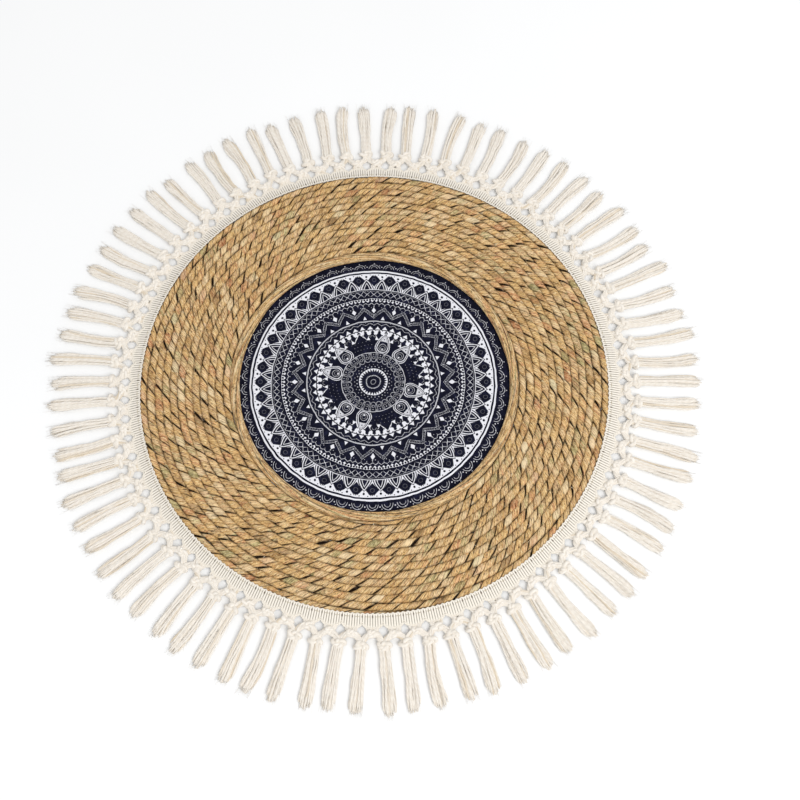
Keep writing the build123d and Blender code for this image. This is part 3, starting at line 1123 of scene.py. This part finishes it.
def make_net(material):
    """Yarn bundles from the header to the first row of knots, and in arches on to the tassels' knots."""
    yarns, knots, heads = Tubes(), Tubes(), Tubes()
    for i in range(tassel_count):
        angle = (i + 0.5) * tassel_step
        ring, turn = net_knot_ring + rng.normal(0, 0.25), angle + rng.normal(0, 0.001)
        knot = polar_point(ring, turn, net_knot_height)
        for side in (-1, 1):
            start = beside_point(knot, angle, -6.2, side * 3.4, 1.5)
            middle = beside_point(knot, angle, -3.0, side * 2.8, 2.2)
            add_bundle(yarns, through([start, middle, knot]), 5.0, 3.0, 6, 0.8, 0.3)
            far = tassel_knot((i + (1 if side > 0 else 0)) % tassel_count)
            shoulder = beside_point(knot, angle, 1.3 + rng.normal(0, 0.4), side * 3.7, 2.9)
            hip = beside_point(knot, angle, 4.6 + rng.normal(0, 0.4), side * 6.9, 2.7)
            bridge = through([knot, shoulder, hip, far])
            add_bundle(yarns, bridge, 5.8, 4.0, 10, 0.85, rng.uniform(0.2, 0.5))
        add_knot(knots, knot, angle, (3.8, 6.0, 2.7), 1.5, fringe_tone(0))
        add_knot(knots, knot, angle, (3.2, 4.2, 2.8), 1.3, fringe_tone(0))
        heading = i * tassel_step
        add_knot(heads, tassel_knot(i), heading, (4.6, 6.8, 3.0), 1.6, fringe_tone(0))
        add_knot(heads, tassel_knot(i), heading, (3.6, 5.2, 3.1), 1.4, fringe_tone(0))
    attach(yarns.make("net_yarn", material), "pad", "fringe_cotton", "net_yarns")
    attach(knots.make("net_knot", material), "pad", "fringe_cotton", "net_knots")
    attach(heads.make("tassel_knot", material), "pad", "fringe_cotton", "tassel_knots")


def tassel_profile(t):
    """Half width, half thickness and height of a tassel's bundle at a distance from its knot."""
    wide = np.interp(t, [0, 4, 9, 20, 30, 42, tassel_length], [3.8, 4.8, 4.6, 4.8, 5.3, 5.9, 5.9])
    thick = np.interp(t, [0, 4, 10, 24, tassel_length], [2.2, 2.4, 2.4, 2.1, 1.7])
    height = np.interp(t, [0, 4, 12, 26, tassel_length], [tassel_knot_height, 2.9, 2.5, 2.2, 1.75])
    return wide, thick, height


def add_tassel(tubes, index):
    """One tassel: soft yarns from the knot, with frayed ends and some loose fibres."""
    place = (index + 1) % 3 - 1
    beige = 0.5 if index == straw_coloured_tassel else 0.16
    head, heading = tassel_knot(index), index * tassel_step
    ahead = np.array([cos(heading), sin(heading), 0])
    beside = np.array([-sin(heading), cos(heading), 0])
    lean = rng.uniform(-2.2, 2.2) if place == 0 else -place * rng.uniform(0.0, 2.4)
    bow = rng.normal(0, 2.2)
    reach = tassel_length + rng.normal(2.1, 1.3)
    t = np.linspace(0, 1, 22)

    def add_yarn(run, side, lift, radius, sides, squash=1.0):
        line = head * (1, 1, 0) + run[:, None] * ahead + side[:, None] * beside
        line[:, 2] = lift
        tubes.add(sweep(line, radius, sides, squash), run, fringe_tone(beige))

    for k in range(yarns_per_tassel):
        spot = sqrt((k + 0.5) / yarns_per_tassel)
        turn = k * golden_angle + rng.normal(0, 0.2)
        a, b = spot * cos(turn), spot * sin(turn)
        length = reach * (1 - 0.06 * rng.random() - 0.02 * spot**2 - 0.08 * a**2)
        run = t * length
        wide, thick, height = tassel_profile(run)
        yarn = 0.76 + 0.16 * rng.random()
        side = a * (wide - yarn * 0.7) + lean * t**1.5 + bow * np.sin(pi * t) * 0.5
        side += wander(run, 9, 0.3) * smooth_step(0, 0.3, t)
        lift = height + b * (thick - yarn * 0.6) + wander(run, 9, 0.15) * smooth_step(0, 0.3, t)
        body = yarn * (0.9 + 0.2 * t) * (1 - 0.7 * smooth_step(0.9, 1.0, t))
        add_yarn(run, side, np.maximum(lift, body * 0.9), body, 6, 0.92)
    for _ in range(hairs_per_tassel):
        start = rng.uniform(0.25, 0.9)
        t_hair = np.linspace(start, min(1.03, start + rng.uniform(0.15, 0.5)), 8)
        run = t_hair * reach
        wide, thick, height = tassel_profile(np.minimum(run, tassel_length))
        a, b = rng.uniform(-1, 1), rng.uniform(-0.2, 1)
        share = (t_hair - start) / (t_hair[-1] - start)
        side = a * wide * (0.9 + 0.15 * share) + lean * t_hair**1.5 + bow * np.sin(pi * t_hair) * 0.5
        side += rng.normal(0, 0.5) * share**2
        lift = np.maximum(height + b * thick * (0.95 + 0.15 * share), 0.1)
        add_yarn(run, side, lift, 0.12 * (1 - 0.6 * share), 3)


def make_tassels(material):
    """One piece for each group of three, riding on the body that swings at their knots."""
    for group in range(group_count):
        tubes = Tubes()
        for place in (-1, 0, 1):
            add_tassel(tubes, (3 * group + place) % tassel_count)
        name = f"tassels_{group + 1:02d}"
        attach(tubes.make(name + "_yarn", material), name, "fringe_cotton", name)


# --- Stage ---

camera_elevation = radians(69.38)
camera_distance = 0.97
aim = np.array([0.02064, -0.01645, 0.004])
lens_mm = 54.1


def make_floor():
    g = Graph("floor", roughness=0.9, specular=0.0)
    cloud = g.noise(g.place(), 0.004, 2.0)
    colour = g.mix(cloud, (0.97, 0.975, 0.98, 1), (0.93, 0.935, 0.94, 1))
    material = g.finish(colour)
    half, level = 6000.0, -0.05
    corners = [(-half, -half, level), (half, -half, level), (half, half, level), (-half, half, level)]
    floor = make_mesh("floor", np.array(corners), [[0, 1, 2, 3]], material)


def make_light(where, size, watts):
    """A square area light that faces the pad."""
    data = bpy.data.lights.new("key", "AREA")
    data.size, data.energy = size, watts
    lamp = bpy.data.objects.new("key", data)
    bpy.context.scene.collection.objects.link(lamp)
    lamp.location = where
    lamp.rotation_mode = "QUATERNION"
    lamp.rotation_quaternion = lamp.location.to_track_quat("Z", "Y")


def make_camera():
    data = bpy.data.cameras.new("camera")
    data.lens, data.sensor_width = lens_mm, 36
    camera = bpy.data.objects.new("camera", data)
    bpy.context.scene.collection.objects.link(camera)
    back = np.array([0, -cos(camera_elevation), sin(camera_elevation)])
    camera.location = aim + camera_distance * back
    camera.rotation_euler = (pi / 2 - camera_elevation, 0, 0)
    bpy.context.scene.camera = camera


def make_stage():
    scene = bpy.context.scene
    scene.view_settings.view_transform = "Standard"
    world = bpy.data.worlds.new("studio")
    scene.world = world
    world.use_nodes = True
    world.node_tree.nodes["Background"].inputs["Color"].default_value = (1, 1, 1, 1)
    world.node_tree.nodes["Background"].inputs["Strength"].default_value = 0.75
    make_light((0.9, -1.1, 1.9), 1.3, 26)
    make_floor()
    make_camera()


# --- The pad ---

straw = straw_material("straw", 9.0, 0.0)
cord_straw = straw_material("edge_straw", 26.0, 0.05)
fringe_cotton = cotton_material("fringe_cotton", "#f3ede4", "#d9cebe", 5.0, 0.12)
edging_cotton = cotton_material("edging_cotton", "#f3ede2", "#d8cdbb", 1.6, 0.1)
thread = cotton_material("sewing_thread", "#cfc5ae", "#a39678", 0.9, 0.05)

make_rope(straw)
make_stray_stems(straw)
make_edge_cord(cord_straw)
make_binding(thread)
make_wadding(felt_material())
make_cloth(print_material())
make_backing(backing_material())
make_seam(thread)
make_header(braid_material())
make_header_edges(edging_cotton)
make_header_stitches(thread)
make_net(fringe_cotton)
make_tassels(fringe_cotton)
make_stage()
